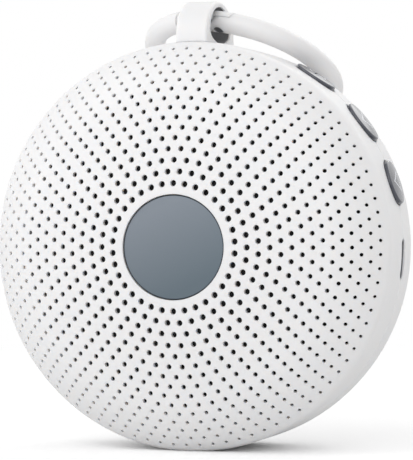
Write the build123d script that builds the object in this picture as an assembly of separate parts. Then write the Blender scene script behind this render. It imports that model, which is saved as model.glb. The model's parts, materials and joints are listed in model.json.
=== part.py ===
from build123d import *
from math import asin, cos, degrees, radians, sin, sqrt
import os

# White noise sound machine: a palm-size disc that stands on its rim. Sound leaves through
# the perforated dome on the front, three buttons and the charging slot are on the right of
# the rim, and a carrying ring hangs in a lug on top.
#
# Sizes are in millimetres. X runs to the right, Y from the front to the back, Z up. The
# origin is the middle of the small flat that the rim rests on. "Depth" is counted backwards
# from the front of the dome along its axis, and "angle" round the rim from the right, upwards.

# Body
body_radius = 45.0
body_depth = 44.0
rest_sink = 0.2  # how far the resting flat cuts into the round rim
cap_radius = 136.0  # the shallow middle of the dome
cap_slope = 14.2  # slope where the shallow middle meets the shoulder
shoulder_radius = 19.0
edge_radius = 4.0
back_fillet = 12.0
seam_depth = 25.5  # parting line between the two shells
seam_groove_width = 0.4
seam_groove_depth = 0.4
front_wall = 1.3
rear_wall = 1.8
part_gap = 0.3  # between pieces that pass each other
fit_gap = 0.1  # between fixed pieces that fit together

# Holes in the dome
hole_rows = 15
first_row_radius = 13.76
row_pitch = 2.55
row_pitch_loss = 0.0675  # each row lies this much closer than the one before
first_row_holes = 34
holes_added_per_row = 4
first_hole = 1.38  # hole diameter in the first row
last_hole = 0.70
straight_rows = 10  # rows drilled along the axis; those outside them fan out
fan_angle = 14.0

# Centre plate
plate_radius = 11.3
plate_depth = 0.95
plate_thickness = 0.55
glue_thickness = 0.1
plate_boss_radius = 12.6

# Lining behind the holes
lining_thickness = 0.25

# Buttons and their switches
button_angles = {"upper": 56.0, "middle": 37.3, "lower": 18.2}
button_radius = 4.95
button_rise = 1.0
button_flange_radius = 6.0
button_flange_thickness = 0.8
button_crown_radius = 30.0
mark_depth = 0.15
mark_stroke = 0.32
mark_size = 2.8  # from the middle of a triangle to its points
press_travel = 0.6
switch_width = 6.0
switch_length = 3.2
plunger_radius = 1.2

# Charging socket
socket_angle = -3.5
socket_width = 8.94
socket_height = 3.2
socket_length = 7.35
socket_sink = 0.4  # below the top of the rim
socket_metal = 0.3

# Lug for the carrying ring
lug_width = 7.1
lug_base = 21.9
lug_front = 13.6
lug_spring = 1.5  # height above the rim where the arch of the lug begins
lug_arch = 8.1
lug_edge_round = 0.6
eye_length = 15.8
eye_height = 3.2  # middle of the eye above the rim
eye_rise = 5.4
eye_drop = 2.8
eye_tilt = 4.3  # the eye slopes down to the right, as the ring does
liner_thickness = 0.2
liner_inset = 0.4
lug_neck_width = 4.4
lug_neck_length = 10.4
lug_foot_width = 9.0
lug_foot_length = 11.8
lug_foot_thickness = 1.4

# Carrying ring, as it lies against the back of the rim
ring_radius = 21.24
ring_wire_radius = 2.38
ring_recline = 24.7  # lean of the ring below the horizontal, towards the back
ring_roll = -9.0  # the right side hangs lower
ring_shift = 3.55  # middle of the ring, right of the lug
ring_top_depth = 24.02
ring_top_height = 50.05  # above the axis of the body
hinge_angle = 270.9
hinge_tongue_radius = 3.1  # the end of the anchor, over the gate
hinge_heel_radius = 2.3  # the end of the gate, under the anchor
hinge_lap = 0.2  # where the two halves of the hinge meet, above the middle of the wire
hinge_lap_gap = 0.12
hinge_pin_radius = 1.15
snap_angle = 243.5
snap_gap_width = 0.5
snap_tongue_length = 1.8
snap_tongue_width = 2.6
snap_tongue_thickness = 1.2

# Inner frame
frame_depth = 16.0
frame_thickness = 2.0
frame_opening = 22.8
ledge_height = 0.9
ledge_thickness = 0.8
hook_height = 0.7
tower_radius = 3.5
tower_ring = 32.0
tower_angles = (74.0, 148.0, 200.0, 318.0)
shell_screw_radius = 1.25
shell_screw_head = 2.5
shell_screw_head_depth = 36.9
shell_screw_length = 15.0

# Speaker
speaker_radius = 26.5
basket_wall = 0.8
gasket_thickness = 0.6
flange_thickness = 1.0
cone_radius = 18.7
coil_radius = 7.9
magnet_radius = 16.5
magnet_thickness = 5.5
yoke_thickness = 2.4
front_plate_thickness = 2.2
speaker_screw_ring = 24.6
speaker_screw_radius = 1.0

# Main board
board_thickness = 1.6
board_inner = 20.5
board_outer = 40.2
board_start = -30.0
board_end = 66.0
standoff_angles = (-22.0, 18.0, 60.0)
standoff_ring = 24.0
board_screw_radius = 1.0

# Battery
battery_length = 35.0
battery_height = 20.0
battery_thickness = 8.0
battery_angle = 248.0
battery_ring = 27.5
battery_front = 29.0
pad_thickness = 1.0
lead_radius = 0.55

# Profile of the dome: a shallow cap, a shoulder and a small edge radius, each tangent to the
# next, then the straight rim
axis_height = body_radius - rest_sink
cap_end = cap_radius * sin(radians(cap_slope))
shoulder_centre = cap_end - shoulder_radius * sin(radians(cap_slope))
shoulder_centre_depth = cap_radius + (shoulder_radius - cap_radius) * cos(radians(cap_slope))
edge_centre = body_radius - edge_radius
shoulder_slope = degrees(asin((edge_centre - shoulder_centre) / (shoulder_radius - edge_radius)))
edge_depth = shoulder_centre_depth - (shoulder_radius - edge_radius) * cos(radians(shoulder_slope))
mid_depth = (edge_depth + body_depth - back_fillet) / 2
body_axis = Axis((0, 0, axis_height), (0, 1, 0))
board_depth = seam_depth + socket_height / 2
frame_back = frame_depth + frame_thickness
front_inner = body_radius - front_wall
rear_inner = body_radius - rear_wall
lug_mid = lug_front + lug_base / 2


def spot(depth, radius):
    """A point of a profile that is turned about the body's axis."""
    return (depth - mid_depth, axis_height + radius)


def place(angle, radius, depth):
    """A point of the body by its angle, its distance from the axis and its depth."""
    a = radians(angle)
    return Vector(radius * cos(a), depth - mid_depth, axis_height + radius * sin(a))


def facing(depth, angle=0, radius=0, turn=0):
    """A plane that faces the front."""
    t = radians(turn)
    return Plane(origin=place(angle, radius, depth), x_dir=(cos(t), 0, sin(t)), z_dir=(0, -1, 0))


def outward(angle, radius, depth):
    """A plane that faces out of the rim: x to the back, y up along the rim."""
    a = radians(angle)
    return Plane(origin=place(angle, radius, depth), x_dir=(0, 1, 0), z_dir=(cos(a), 0, sin(a)))


def disc(front, back, outer, inner=0, angle=0, radius=0):
    """A round plate or tube between two depths."""
    face = Circle(outer)
    if inner:
        face -= Circle(inner)
    return extrude(facing(front, angle, radius) * face, amount=front - back)


def slab(sketch, front, back, angle=0, radius=0, turn=0):
    """A sketch given thickness between two depths."""
    return extrude(facing(front, angle, radius, turn) * sketch, amount=front - back)


def turned(*points):
    """A closed profile of straight lines turned about the body's axis."""
    outline = Polyline(*[spot(d, r) for d, r in points], close=True)
    return revolve(Plane.YZ * make_face(outline), axis=body_axis)


def front_form(offset, back):
    """The space inside the dome and rim, this far inside the outer surface."""
    half_cap = radians(cap_slope / 2)
    cap = radians(cap_slope)
    shoulder = radians(shoulder_slope)
    mid_shoulder = radians((cap_slope + shoulder_slope) / 2)
    mid_edge = radians((shoulder_slope + 90) / 2)

    def on_cap(slope):
        r = cap_radius - offset
        return spot(cap_radius - r * cos(slope), r * sin(slope))

    def on_shoulder(slope):
        r = shoulder_radius - offset
        return spot(shoulder_centre_depth - r * cos(slope), shoulder_centre + r * sin(slope))

    def on_edge(slope):
        r = edge_radius - offset
        return spot(edge_depth - r * cos(slope), edge_centre + r * sin(slope))

    rim = body_radius - offset
    outline = [
        ThreePointArc(spot(offset, 0), on_cap(half_cap), on_cap(cap)),
        ThreePointArc(on_cap(cap), on_shoulder(mid_shoulder), on_shoulder(shoulder)),
        ThreePointArc(on_shoulder(shoulder), on_edge(mid_edge), spot(edge_depth, rim)),
        Line(spot(edge_depth, rim), spot(back, rim)),
        Line(spot(back, rim), spot(back, 0)),
        Line(spot(back, 0), spot(offset, 0)),
    ]
    return revolve(Plane.YZ * make_face(outline), axis=body_axis)


def rear_form(offset, front):
    """The space inside the back and rim, this far inside the outer surface."""
    rim = body_radius - offset
    back = body_depth - offset
    corner = back_fillet - offset
    middle = corner * sqrt(0.5)
    centre = body_radius - back_fillet
    centre_depth = body_depth - back_fillet
    outline = [
        Line(spot(front, 0), spot(front, rim)),
        Line(spot(front, rim), spot(centre_depth, rim)),
        ThreePointArc(
            spot(centre_depth, rim),
            spot(centre_depth + middle, centre + middle),
            spot(back, centre),
        ),
        Line(spot(back, centre), spot(back, 0)),
        Line(spot(back, 0), spot(front, 0)),
    ]
    return revolve(Plane.YZ * make_face(outline), axis=body_axis)


def dome_depth(radius):
    """Depth of the dome's outer surface at this distance from the axis."""
    if radius < cap_end:
        return cap_radius - sqrt(cap_radius**2 - radius**2)
    return shoulder_centre_depth - sqrt(shoulder_radius**2 - (radius - shoulder_centre) ** 2)


def solid_of(shape):
    """The one solid of a result."""
    return shape.solids().sort_by(SortBy.VOLUME)[-1]


pieces = {}

# Openings in the rim, shared by both shells
button_openings = [
    extrude(outward(a, rear_inner - 3, seam_depth) * Circle(button_radius + part_gap), amount=8)
    for a in button_angles.values()
]
slot_shape = SlotOverall(socket_width + 2 * fit_gap, socket_height + 2 * fit_gap, rotation=90)
slot_opening = extrude(outward(socket_angle, rear_inner - 3, seam_depth) * slot_shape, amount=8)
neck_shape = RectangleRounded(
    lug_neck_length + 2 * fit_gap, lug_neck_width + 2 * fit_gap, lug_neck_width / 3
)
neck_opening = extrude(outward(90, rear_inner - 3, lug_mid) * neck_shape, amount=8)
below_rest = Pos(0, 0, -body_radius) * Box(4 * body_radius, 4 * body_radius, 2 * body_radius)
seam_groove = turned(
    (seam_depth - seam_groove_width / 2, body_radius + 0.1),
    (seam_depth - seam_groove_width / 2, body_radius),
    (seam_depth, body_radius - seam_groove_depth),
    (seam_depth + seam_groove_width / 2, body_radius),
    (seam_depth + seam_groove_width / 2, body_radius + 0.1),
)
openings = [*button_openings, slot_opening, neck_opening, below_rest, seam_groove]

# Front shell: dome and front half of the rim, with a boss for the centre plate, a ledge and
# hooks for the inner frame
boss_back = plate_depth + plate_thickness + glue_thickness + front_wall
shell = front_form(0, seam_depth) - front_form(front_wall, seam_depth)
shell += disc(plate_depth, boss_back, plate_boss_radius)
shell -= disc(-1, plate_depth + plate_thickness + glue_thickness, plate_radius + fit_gap)
ledge_inner = front_inner - ledge_height
shell += disc(frame_depth - ledge_thickness, frame_depth, front_inner + 0.2, ledge_inner)
hook_front = frame_back + fit_gap
hook_profile = [
    (hook_front, front_inner + 0.2),
    (hook_front, front_inner - hook_height),
    (hook_front + 0.3, front_inner - hook_height),
    (hook_front + 1.3, front_inner + 0.2),
]
hook_ring = turned(*hook_profile)
for a in range(0, 360, 60):
    hook_block = extrude(outward(a, front_inner - 3, hook_front) * Rectangle(6, 8), amount=4)
    shell += hook_ring & hook_block
shell = shell.cut(*openings)
hole_tools = []
for row in range(hole_rows):
    count = first_row_holes + holes_added_per_row * row
    radius = first_row_radius + row_pitch * row - row_pitch_loss * row * (row - 1) / 2
    diameter = first_hole + (last_hole - first_hole) * row / (hole_rows - 1)
    fan = radians(0 if row < straight_rows else fan_angle)
    start_angle = 90 if row % 2 == 0 else 0
    for i in range(count):
        mouth = outward(start_angle + 360 * i / count, radius, dome_depth(radius))
        drill = Plane(mouth.origin, z_dir=mouth.x_dir * cos(fan) - mouth.z_dir * sin(fan))
        tool = Solid.make_cylinder(diameter / 2, 3 * front_wall, drill.offset(-front_wall))
        hole_tools.append(tool)
shell = shell.cut(*hole_tools)
pieces["front_shell"] = solid_of(shell)

# Rear shell: back, rear half of the rim, the lip that locates the front shell, screw posts
# and the seat of the battery
rear = rear_form(0, seam_depth) - rear_form(rear_wall, seam_depth)
lip = disc(seam_depth - 2.6, seam_depth + 2, front_inner - fit_gap, front_inner - 1.3)
for a in button_angles.values():
    lip -= extrude(outward(a, rear_inner - 5, seam_depth) * Rectangle(12, 15), amount=9)
lip -= extrude(outward(socket_angle, rear_inner - 5, seam_depth) * Rectangle(12, 13), amount=9)
lip -= extrude(outward(90, rear_inner - 5, seam_depth) * Rectangle(12, 13), amount=9)
rear = (rear_form(0, seam_depth) & (rear + lip)) + lip
for a in tower_angles:
    post = disc(seam_depth, body_depth - rear_wall / 2, tower_radius, 0, a, tower_ring)
    rear += post & rear_form(rear_wall / 2, seam_depth)
seat_ring = Rectangle(30, 15) - Rectangle(27, 12)
seat_front = battery_front + battery_thickness + pad_thickness
rear += slab(
    seat_ring,
    seat_front,
    body_depth - rear_wall / 2,
    battery_angle,
    battery_ring,
    battery_angle + 90,
)
for a in tower_angles:
    rear -= disc(seam_depth - 1, body_depth, shell_screw_radius + part_gap, 0, a, tower_ring)
    head_seat = shell_screw_head_depth - 1.9
    rear -= disc(head_seat, body_depth + 1, shell_screw_head + part_gap, 0, a, tower_ring)
rear = rear.cut(*openings)
pieces["rear_shell"] = solid_of(rear)

# Centre plate and the adhesive under it
plate_back = plate_depth + plate_thickness
centre_plate = disc(plate_depth, plate_back, plate_radius)
centre_plate = chamfer(centre_plate.edges().group_by(Axis.Y)[0], 0.12)
pieces["centre_plate"] = centre_plate
pieces["centre_plate_adhesive"] = disc(plate_back, plate_back + glue_thickness, plate_radius - 0.5)

# Lining bonded behind the holes
lining = front_form(front_wall, seam_depth) - front_form(front_wall + lining_thickness, seam_depth)
lining_edge = front_inner - 0.8
lining &= disc(0, edge_depth, lining_edge, plate_boss_radius + 2 * fit_gap)
pieces["hole_lining"] = solid_of(lining)

# Inner frame
frame = disc(frame_depth, frame_back, front_inner - part_gap, frame_opening)
for a in tower_angles:
    frame += disc(frame_back, seam_depth - fit_gap, tower_radius, 0, a, tower_ring)
for a in standoff_angles:
    frame += disc(frame_back, board_depth, 2.5, 0, a, standoff_ring)
screw_tip = shell_screw_head_depth - 1.9 - shell_screw_length
for a in tower_angles:
    frame -= disc(screw_tip, seam_depth, shell_screw_radius, 0, a, tower_ring)
for a in standoff_angles:
    frame -= disc(board_depth - 5, board_depth, board_screw_radius, 0, a, standoff_ring)
for a in range(45, 360, 90):
    frame -= disc(frame_depth, frame_back, speaker_screw_radius, 0, a, speaker_screw_ring)
pieces["inner_frame"] = solid_of(frame)


def screw(head_depth, length, radius, head_radius, head_height, angle, ring, back=True):
    """A pan-head screw with a cross recess. Its head bears at head_depth."""
    side = 1 if back else -1
    head_end = head_depth + side * head_height
    tip = head_depth - side * length
    low, high = sorted((head_depth, head_end))
    body = disc(low, high, head_radius, 0, angle, ring)
    body = fillet(body.edges().group_by(Axis.Y)[-1 if back else 0], head_height * 0.4)
    low, high = sorted((head_depth, tip))
    body += disc(low, high, radius, 0, angle, ring)
    cross = Rectangle(head_radius * 1.1, head_radius * 0.28)
    cross += Rectangle(head_radius * 0.28, head_radius * 1.1)
    low, high = sorted((head_end - side * head_height * 0.5, head_end + side))
    return solid_of(body - slab(cross, low, high, angle, ring))


# Screws that close the shells, hold the speaker and hold the board
pieces["shell_screws"] = Compound([
    screw(shell_screw_head_depth - 1.9, shell_screw_length, shell_screw_radius,
          shell_screw_head, 1.9, a, tower_ring)
    for a in tower_angles
])
flange_front = frame_depth - gasket_thickness - flange_thickness
pieces["speaker_screws"] = Compound([
    screw(flange_front, flange_thickness + gasket_thickness + frame_thickness - 0.2,
          speaker_screw_radius, 1.9, 0.9, a, speaker_screw_ring, back=False)
    for a in range(45, 360, 90)
])
board_back = board_depth + board_thickness
pieces["board_screws"] = Compound([
    screw(board_back, board_thickness + 4.5, board_screw_radius, 1.9, 1.2, a, standoff_ring)
    for a in standoff_angles
])

# Speaker, from the front backwards
gasket_front = frame_depth - gasket_thickness
basket_bottom = frame_depth + 9.8
neck_outer = magnet_radius - 1.9
basket = disc(flange_front, gasket_front, speaker_radius, cone_radius + 3.2)
basket += turned(
    (gasket_front, frame_opening - 0.5),
    (basket_bottom - basket_wall, neck_outer),
    (basket_bottom, neck_outer),
    (basket_bottom, coil_radius + 1.4),
    (basket_bottom - basket_wall, coil_radius + 1.4),
    (basket_bottom - basket_wall, neck_outer - basket_wall),
    (flange_front, cone_radius + 3.2),
    (flange_front, frame_opening - 0.5),
)
for a in range(0, 360, 90):
    window = extrude(outward(a, 11, frame_depth + 5) * Rectangle(6, 13), amount=14)
    basket -= fillet(window.edges().filter_by(Axis(body_axis.position, (cos(radians(a)), 0,
                     sin(radians(a))))), 1.2)
spider_seat = frame_depth + 8.2
basket += disc(spider_seat, basket_bottom, neck_outer, neck_outer - 1.8)
for a in range(45, 360, 90):
    basket -= disc(flange_front, gasket_front, speaker_screw_radius, 0, a, speaker_screw_ring)
pieces["speaker_basket"] = solid_of(basket)
gasket = disc(gasket_front, frame_depth, speaker_radius, frame_opening)
for a in range(45, 360, 90):
    gasket -= disc(gasket_front, frame_depth, speaker_screw_radius, 0, a, speaker_screw_ring)
pieces["speaker_gasket"] = solid_of(gasket)
roll_middle = cone_radius + 1.6
roll = Circle(1.5) - Circle(1.1)
roll &= Pos(-2, 0) * Rectangle(4, 8)
roll = Pos(*spot(flange_front, roll_middle)) * roll
surround = revolve(Plane.YZ * roll, axis=body_axis)
surround += disc(flange_front - 0.4, flange_front, roll_middle - 1.2, cone_radius - 1)
surround += disc(flange_front - 0.4, flange_front, cone_radius + 3.9, roll_middle + 1.2)
pieces["speaker_surround"] = solid_of(surround)
cone_neck = flange_front + 6.0
pieces["speaker_cone"] = turned(
    (flange_front, cone_radius),
    (flange_front + 0.4, cone_radius),
    (cone_neck + 0.6, coil_radius + 0.4),
    (cone_neck + 0.6, coil_radius),
    (cone_neck, coil_radius),
    (flange_front, cone_radius - 0.7),
)
dust_rim = coil_radius + 0.4
dust_rise = 2.6
dust_radius = (dust_rim**2 + dust_rise**2) / (2 * dust_rise)
dust_centre = cone_neck - 0.3 + dust_radius - dust_rise
dust_cap = Sphere(dust_radius) - Sphere(dust_radius - 0.35)
dust_cap = Pos(0, dust_centre - mid_depth, axis_height) * Rot(90, 0, 0) * dust_cap
pieces["speaker_dust_cap"] = solid_of(dust_cap & disc(frame_depth - 9, cone_neck - 0.3, 2 * dust_rim))
plate_front = basket_bottom
magnet_front = plate_front + front_plate_thickness
yoke_front = magnet_front + magnet_thickness
coil = disc(cone_neck, magnet_front + 1, coil_radius, coil_radius - 0.3)
coil += disc(plate_front - 0.6, magnet_front + 0.8, coil_radius + 0.35, coil_radius - 0.1)
pieces["speaker_voice_coil"] = solid_of(coil)
waves = []
for i in range(7):
    waves.append((spider_seat - 0.75 + 0.5 * (i % 2), coil_radius + 0.7 * i))
waves.append((spider_seat - 0.3, neck_outer - 1.7))
waves.append((spider_seat - 0.3, neck_outer - basket_wall - 0.6))
spider_back = [(d + 0.3, r) for d, r in reversed(waves)]
pieces["speaker_spider"] = turned(*waves, *spider_back)
pieces["speaker_front_plate"] = disc(plate_front, magnet_front, magnet_radius - 1.5,
                                     coil_radius + 0.8)
pieces["speaker_magnet"] = disc(magnet_front, yoke_front, magnet_radius, coil_radius + 2.2)
yoke = disc(yoke_front, yoke_front + yoke_thickness, magnet_radius - 0.5)
yoke += disc(plate_front, yoke_front, coil_radius - 0.8)
pieces["speaker_back_plate"] = solid_of(yoke)
terminal_depth = frame_depth + 4.4
terminal_angle = 39
terminal_ring = cone_radius + 1.5
pieces["speaker_terminal"] = slab(Rectangle(3.4, 9), terminal_depth, terminal_depth + 1,
                                  terminal_angle, terminal_ring, terminal_angle)

# Main board: a sector of the seam plane, with a tab under the socket
sector = Circle(board_outer) - Circle(board_inner)
reach = 2 * board_outer
corners = [(0, 0)]
for a in (board_start, (board_start + board_end) / 2, board_end):
    corners.append((reach * cos(radians(a)), reach * sin(radians(a))))
sector &= make_face(Polyline(*corners, close=True))
tab_length = rear_inner - 0.5 - board_outer + 4
tab = Rot(0, 0, socket_angle) * Pos(board_outer + tab_length / 2 - 4, 0) * Rectangle(tab_length, 11)
board = slab(sector + tab, board_depth, board_back)
for a in standoff_angles:
    board -= disc(board_depth, board_back, board_screw_radius + fit_gap, 0, a, standoff_ring)
pieces["main_board"] = solid_of(board)


def on_board(width, length, height, angle, radius, turn=0):
    """A block on the front of the board: width along the rim, length outwards."""
    shape = Rectangle(length, width)
    return slab(shape, board_depth - height, board_depth, angle, radius, angle + turn)


pieces["sound_chip"] = on_board(7, 7, 0.9, 6, 30)
pieces["amplifier_chip"] = on_board(5, 5, 0.9, -13, 31.5)
pieces["memory_chip"] = on_board(5.3, 5.2, 1.6, 29, 28.5)
inductor = on_board(5, 5, 2.8, -19, 37)
pieces["power_inductor"] = fillet(inductor.edges().filter_by(Axis.Y), 1.0)
pieces["board_capacitors"] = Compound([
    disc(board_depth - 5.4, board_depth, 2.0, 0, a, r)
    for a, r in ((9, 36), (41, 33.5), (2, 23.4))
])
connector_width = 6.0
connector_length = 4.2
connector_height = 4.4
battery_plug = (-24.0, 30.0)  # angle and distance from the axis
speaker_plug = (53.0, 31.0)
pieces["battery_connector"] = on_board(connector_length, connector_width, connector_height,
                                       *battery_plug)
pieces["speaker_connector"] = on_board(connector_width, connector_length, connector_height,
                                       *speaker_plug)

# Charging socket: a flattened metal tube with its contact tongue
socket_mouth = body_radius - socket_sink
socket_back = socket_mouth - socket_length
socket_outer = RectangleRounded(socket_height, socket_width, socket_height / 2 - 0.1)
socket_inner = RectangleRounded(
    socket_height - 2 * socket_metal,
    socket_width - 2 * socket_metal,
    socket_height / 2 - 0.1 - socket_metal,
)
socket_shell = extrude(outward(socket_angle, socket_back, seam_depth) * socket_outer,
                       amount=socket_length)
socket_shell -= extrude(outward(socket_angle, socket_back + 1, seam_depth) * socket_inner,
                        amount=socket_length)
pieces["charging_socket"] = socket_shell
pieces["charging_tongue"] = extrude(
    outward(socket_angle, socket_back + 1, seam_depth) * Rectangle(0.7, 6.7),
    amount=socket_length - 1.6,
)


# Buttons: each has a crowned cap with an inlaid mark, a flange that keeps it in the shells,
# and the plunger of its switch under it. They are drawn with z out of the rim, from the
# body's axis, x to the back and y up along the rim.
def mark_for(name):
    """The line symbol of a button: a power symbol on the upper one, triangles on the others."""
    if name != "upper":
        outer = RegularPolygon(mark_size, 3, rotation=180)
        return outer - RegularPolygon(mark_size - 2 * mark_stroke, 3, rotation=180)
    arc = Circle(2.2) - Circle(2.2 - mark_stroke) - Pos(-2.2, 0) * Rectangle(2.4, 2.0)
    return arc + Pos(-1.6, 0) * Rectangle(2.2, mark_stroke)


button_top = body_radius + button_rise
flange_top = rear_inner - 0.8
flange_bottom = flange_top - button_flange_thickness
switch_front = board_outer - 0.7
plunger_top = flange_bottom - 0.6
plunger_bottom = switch_front - press_travel - 0.7
crown_drop = button_crown_radius - sqrt(button_crown_radius**2 - button_radius**2)
crown_edge = (button_radius, button_top - crown_drop)
crown_middle = (
    button_radius / 2,
    button_top - button_crown_radius + sqrt(button_crown_radius**2 - (button_radius / 2) ** 2),
)
cap_outline = [
    Line((0, plunger_top), (plunger_radius + 0.5, plunger_top)),
    Line((plunger_radius + 0.5, plunger_top), (plunger_radius + 0.5, flange_bottom)),
    Line((plunger_radius + 0.5, flange_bottom), (button_flange_radius, flange_bottom)),
    Line((button_flange_radius, flange_bottom), (button_flange_radius, flange_top)),
    Line((button_flange_radius, flange_top), (button_radius, flange_top)),
    Line((button_radius, flange_top), crown_edge),
    ThreePointArc(crown_edge, crown_middle, (0, button_top)),
    Line((0, button_top), (0, plunger_top)),
]
cap_face = make_face(cap_outline)
cap_face = fillet(cap_face.vertices().sort_by_distance(crown_edge)[0], 0.45)
button_cap = revolve(Plane.XZ * cap_face, axis=Axis.Z)
crown_centre = Pos(0, 0, button_top - button_crown_radius) * Rot(90, 0, 0)
crown = crown_centre * Sphere(button_crown_radius)
mark_floor = crown_centre * Sphere(button_crown_radius - mark_depth)
plunger = Pos(0, 0, plunger_bottom) * extrude(Circle(plunger_radius),
                                              amount=plunger_top - plunger_bottom)
switch = Pos(0, 0, switch_front - switch_length) * extrude(
    Rectangle(socket_height, switch_width), amount=switch_length)
well_floor = plunger_bottom - press_travel - part_gap
switch -= Pos(0, 0, well_floor) * extrude(Circle(plunger_radius + 0.05), amount=5)
for name, angle in button_angles.items():
    seat = outward(angle, 0, seam_depth).location
    pocket = Pos(0, 0, button_top - 1) * extrude(mark_for(name), amount=2) - mark_floor
    pieces[name + "_button"] = seat * solid_of(button_cap - pocket)
    pieces[name + "_button_mark"] = seat * solid_of(pocket & crown)
    pieces[name + "_switch_plunger"] = seat * plunger
    pieces[name + "_switch"] = seat * switch

# Battery on its pad
cell = slab(Rectangle(battery_length, battery_height), battery_front,
            battery_front + battery_thickness, battery_angle, battery_ring, battery_angle + 90)
cell = fillet(cell.edges().filter_by(Axis.Y), 2.0)
cell = fillet(cell.edges().group_by(Axis.Y)[0] + cell.edges().group_by(Axis.Y)[-1], 1.5)
pieces["battery_cell"] = cell
pieces["battery_pad"] = slab(
    Rectangle(30, 15), battery_front + battery_thickness, seat_front, battery_angle,
    battery_ring, battery_angle + 90
)


def lead(start_run, end_run, *points):
    """An insulated wire along a smooth path, with its direction at both ends."""
    path = Spline(*points, tangents=(start_run, end_run))
    return sweep(Plane(path @ 0, z_dir=path % 0) * Circle(lead_radius), path=path)


def rimward(angle):
    """The direction along the rim, anticlockwise."""
    return Vector(-sin(radians(angle)), 0, cos(radians(angle)))


def away(angle):
    """The direction out from the axis."""
    return Vector(cos(radians(angle)), 0, sin(radians(angle)))


wire_depth = board_depth - connector_height / 2
cell_end = place(battery_angle, battery_ring, battery_front + battery_thickness / 2)
cell_end += rimward(battery_angle) * (battery_length / 2)
plug_angle, plug_ring = battery_plug
for colour, shift in (("red", 0.9), ("black", -0.9)):
    plug_end = place(plug_angle, plug_ring + shift, wire_depth)
    plug_end -= rimward(plug_angle) * (connector_length / 2)
    pieces["battery_lead_" + colour] = lead(
        rimward(battery_angle),
        rimward(plug_angle),
        cell_end + Vector(0, shift, 0),
        place(-50, 26.5 + shift, battery_front + 2 + shift),
        place(-38, 26.5 + shift, board_depth),
        plug_end,
    )
plug_angle, plug_ring = speaker_plug
for colour, shift in (("red", 1.2), ("black", -1.2)):
    tab_end = place(terminal_angle, terminal_ring + 0.6, terminal_depth + 1)
    tab_end += rimward(terminal_angle) * (2 * shift)
    plug_end = place(plug_angle, plug_ring - connector_length / 2, wire_depth)
    plug_end += rimward(plug_angle) * (0.8 * shift)
    pieces["speaker_lead_" + colour] = lead(
        Vector(0, 1, 0),
        away(plug_angle),
        tab_end,
        place((terminal_angle + plug_angle) / 2 + shift * 2, 24.2, wire_depth - 0.6),
        plug_end,
    )

# Lug: an arched eye on top of the rim, held by a foot inside the shells, with a dark liner
lug_side = Plane(origin=(0, lug_mid - mid_depth, axis_height + body_radius), x_dir=(0, 1, 0),
                 z_dir=(1, 0, 0))
eye_side = Plane(origin=lug_side.origin, x_dir=(0, 1, 0),
                 z_dir=(cos(radians(eye_tilt)), 0, -sin(radians(eye_tilt))))
above = Pos(0, body_radius / 2) * Rectangle(2 * body_radius, body_radius)
below = Pos(0, -body_radius / 2) * Rectangle(2 * body_radius, body_radius)


def eye(inset):
    """The eye's outline, drawn this far inside the cut in the lug."""
    half = eye_length / 2 - inset
    outline = (Ellipse(half, eye_rise - inset) & above) + (Ellipse(half, eye_drop - inset) & below)
    return Pos(0, eye_height) * outline


arch = Pos(0, lug_spring) * (Ellipse(lug_base / 2, lug_arch) & above)
arch += Pos(0, lug_spring - 2.5) * Rectangle(lug_base, 5)
lug = extrude(lug_side * arch, amount=lug_width / 2, both=True)
lug = fillet(lug.edges().filter_by(lambda e: e.center().Z > lug_side.origin.Z + lug_spring),
             lug_edge_round)
lug -= disc(0, body_depth + 10, body_radius)
lug -= extrude(eye_side * eye(0), amount=lug_width, both=True)
foot_top = sqrt(rear_inner**2 - (lug_foot_width / 2) ** 2) - fit_gap
foot_bottom = foot_top - lug_foot_thickness
neck = RectangleRounded(lug_neck_length, lug_neck_width, lug_neck_width / 3)
foot = RectangleRounded(lug_foot_length, lug_foot_width, 1.5)
lug += extrude(outward(90, foot_bottom, lug_mid) * neck, amount=body_radius - foot_bottom + 0.2)
lug += extrude(outward(90, foot_bottom, lug_mid) * foot, amount=lug_foot_thickness)
pieces["ring_lug"] = solid_of(lug)
liner = extrude(eye_side * (eye(0) - eye(liner_thickness)), amount=lug_width, both=True)
liner &= extrude(lug_side * Rectangle(lug_base, lug_base), amount=lug_width / 2 - liner_inset,
                 both=True)
pieces["lug_liner"] = solid_of(liner)

# Carrying ring: an anchor through the lug, a gate arc and their hinge pin. It is drawn in
# its own plane: x to the right, y away from the lug, z across the wire.
recline = radians(ring_recline)
roll_angle = radians(ring_roll)
lean = Vector(0, cos(recline), -sin(recline))
level = Vector(cos(roll_angle), sin(recline) * sin(roll_angle), cos(recline) * sin(roll_angle))
ring_top = Vector(ring_shift, ring_top_depth - mid_depth, axis_height + ring_top_height)
ring_plane = Plane(origin=ring_top + lean * ring_radius, x_dir=level, z_dir=level.cross(lean))
whole_ring = ring_plane * Torus(ring_radius, ring_wire_radius)


def ring_sector(start, end):
    """The part of the ring's plane between two angles."""
    far = 2 * ring_radius
    steps = 8
    rim = [start + (end - start) * i / steps for i in range(steps + 1)]
    face = make_face(Polyline(
        (0, 0), *[(far * cos(radians(a)), far * sin(radians(a))) for a in rim], close=True))
    return extrude(ring_plane * face, amount=2 * ring_wire_radius, both=True)


def at_ring(angle):
    """A plane on the ring's centre line: x along the wire, y to the ring's middle."""
    a = radians(angle)
    origin = ring_plane.from_local_coords(Vector(ring_radius * cos(a), ring_radius * sin(a), 0))
    along_wire = ring_plane.x_dir * -sin(a) + ring_plane.y_dir * cos(a)
    return Plane(origin=origin, x_dir=along_wire, z_dir=ring_plane.z_dir)


def across_wire(plane, radius, thickness):
    """A cylinder square to the ring's plane."""
    return extrude(plane * Circle(radius), amount=thickness / 2, both=True)


hinge = at_ring(hinge_angle)
wide = 4 * ring_wire_radius


def hinge_half(radius, side):
    """Half of a cylinder on the hinge: 1 is above the lap, -1 below it."""
    start = hinge.offset(hinge_lap + side * hinge_lap_gap / 2)
    return extrude(start * Circle(radius), amount=side * wide)


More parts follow.
